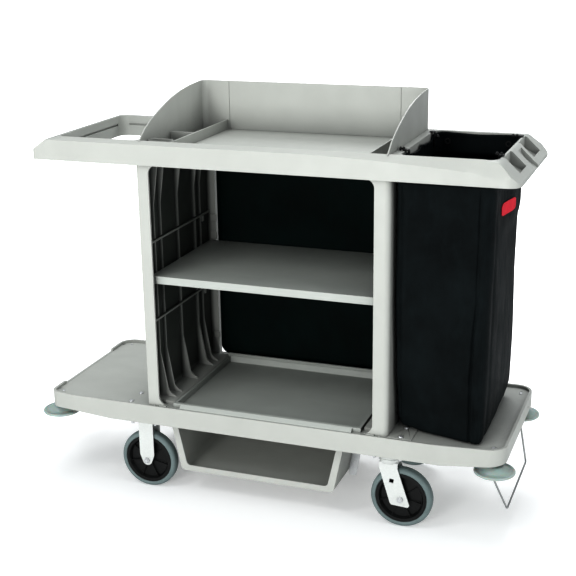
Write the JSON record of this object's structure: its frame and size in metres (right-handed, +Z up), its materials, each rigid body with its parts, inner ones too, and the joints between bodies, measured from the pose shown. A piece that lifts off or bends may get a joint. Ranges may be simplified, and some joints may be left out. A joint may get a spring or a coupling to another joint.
{
  "type": "housekeeping cart",
  "caption": "Housekeeping cart with an open shelf cabinet, hooded top tray, hanging linen bag, under-deck bin, casters, rolling corner bumpers and a folding wire bail.",
  "frame": {"origin": "on the floor under the middle of the overall length and width", "axes": "+X along the length towards the push handle, -Y towards the open front, +Z up"},
  "size_m": [1.546, 0.558, 1.258],
  "materials": {
    "moulding_grey": "fine moulded grain",
    "deck_grey": "fine moulded grain",
    "shelf_grey": "fine moulded grain",
    "panel_cloth": "plain coated weave",
    "bag_cloth": "plain coated weave",
    "patch": "smooth moulded",
    "hook_black": "smooth",
    "zinc": "bright zinc plate",
    "wire_steel": "drawn wire",
    "fork_zinc": "bright zinc plate",
    "hub_black": "moulded",
    "tyre": "matt grey rubber",
    "bumper": "pale cloudy plastic"
  },
  "bodies": {
    "cart": {"base_deck": "deck_grey", "deck_joint_plate": "deck_grey", "end_panel_left": "moulding_grey", "end_panel_right": "moulding_grey", "mid_shelf": "shelf_grey", "bottom_shelf": "shelf_grey", "back_panel": "panel_cloth", "back_panel_clips": "moulding_grey", "shelf_clips": "moulding_grey", "top_moulding": "moulding_grey", "hood_left": "moulding_grey", "hood_back": "moulding_grey", "hood_right": "moulding_grey", "hood_seam_strips": "moulding_grey", "tray_divider_left": "moulding_grey", "tray_divider_right": "moulding_grey", "tray_cross_wall": "moulding_grey", "bottle_cup": "moulding_grey", "under_bin": "moulding_grey", "bin_hangers": "zinc", "linen_bag": "bag_cloth", "bag_hooks": "hook_black", "bag_grommets": "hook_black", "bag_patch": "patch", "caster_bolts": "zinc", "post_foot_tabs": "moulding_grey", "corner_screws": "zinc", "bumper_bolts": "zinc", "bail_brackets": "zinc", "rigid_fork_front": "fork_zinc", "rigid_fork_rear": "fork_zinc", "rigid_axle_front": "zinc", "rigid_axle_rear": "zinc", "swivel_plate_front": "fork_zinc", "swivel_plate_rear": "fork_zinc"},
    "swivel_front": {"swivel_fork_front": "fork_zinc", "swivel_axle_front": "zinc"},
    "wheel_rigid_front": {"hub_rigid_front": "hub_black", "tyre_rigid_front": "tyre", "bush_rigid_front": "zinc"},
    "wheel_swivel_front": {"hub_swivel_front": "hub_black", "tyre_swivel_front": "tyre", "bush_swivel_front": "zinc"},
    "roller_left_front": {"bumper_left_front": "bumper"},
    "roller_right_front": {"bumper_right_front": "bumper"},
    "swivel_rear": {"swivel_fork_rear": "fork_zinc", "swivel_axle_rear": "zinc"},
    "wheel_rigid_rear": {"hub_rigid_rear": "hub_black", "tyre_rigid_rear": "tyre", "bush_rigid_rear": "zinc"},
    "wheel_swivel_rear": {"hub_swivel_rear": "hub_black", "tyre_swivel_rear": "tyre", "bush_swivel_rear": "zinc"},
    "roller_left_rear": {"bumper_left_rear": "bumper"},
    "roller_right_rear": {"bumper_right_rear": "bumper"},
    "bail": {"wire_bail": "wire_steel"}
  },
  "joints": [
    {"name": "swivel_turn_front", "type": "hinge", "parent": "cart", "child": "swivel_front", "pos_m": [0.399, -0.206, 0.215], "axis": [0, 0, 1], "continuous": true},
    {"name": "swivel_wheel_spin_front", "type": "hinge", "parent": "swivel_front", "child": "wheel_swivel_front", "pos_m": [0.437, -0.206, 0.095], "axis": [0, 1, 0], "continuous": true},
    {"name": "rigid_wheel_spin_front", "type": "hinge", "parent": "cart", "child": "wheel_rigid_front", "pos_m": [-0.403, -0.206, 0.095], "axis": [0, 1, 0], "continuous": true},
    {"name": "bumper_spin_left_front", "type": "hinge", "parent": "cart", "child": "roller_left_front", "pos_m": [-0.713, -0.219, 0.226], "axis": [0, 0, 1], "continuous": true},
    {"name": "bumper_spin_right_front", "type": "hinge", "parent": "cart", "child": "roller_right_front", "pos_m": [0.713, -0.219, 0.226], "axis": [0, 0, 1], "continuous": true},
    {"name": "swivel_turn_rear", "type": "hinge", "parent": "cart", "child": "swivel_rear", "pos_m": [0.399, 0.206, 0.215], "axis": [0, 0, 1], "continuous": true},
    {"name": "swivel_wheel_spin_rear", "type": "hinge", "parent": "swivel_rear", "child": "wheel_swivel_rear", "pos_m": [0.361, 0.206, 0.095], "axis": [0, 1, 0], "continuous": true},
    {"name": "rigid_wheel_spin_rear", "type": "hinge", "parent": "cart", "child": "wheel_rigid_rear", "pos_m": [-0.403, 0.206, 0.095], "axis": [0, 1, 0], "continuous": true},
    {"name": "bumper_spin_left_rear", "type": "hinge", "parent": "cart", "child": "roller_left_rear", "pos_m": [-0.713, 0.219, 0.226], "axis": [0, 0, 1], "continuous": true},
    {"name": "bumper_spin_right_rear", "type": "hinge", "parent": "cart", "child": "roller_right_rear", "pos_m": [0.713, 0.219, 0.226], "axis": [0, 0, 1], "continuous": true},
    {"name": "bail_fold", "type": "hinge", "parent": "cart", "child": "bail", "pos_m": [0.713, 0, 0.2], "axis": [0, -1, 0], "range_deg": [0, 70]}
  ]
}
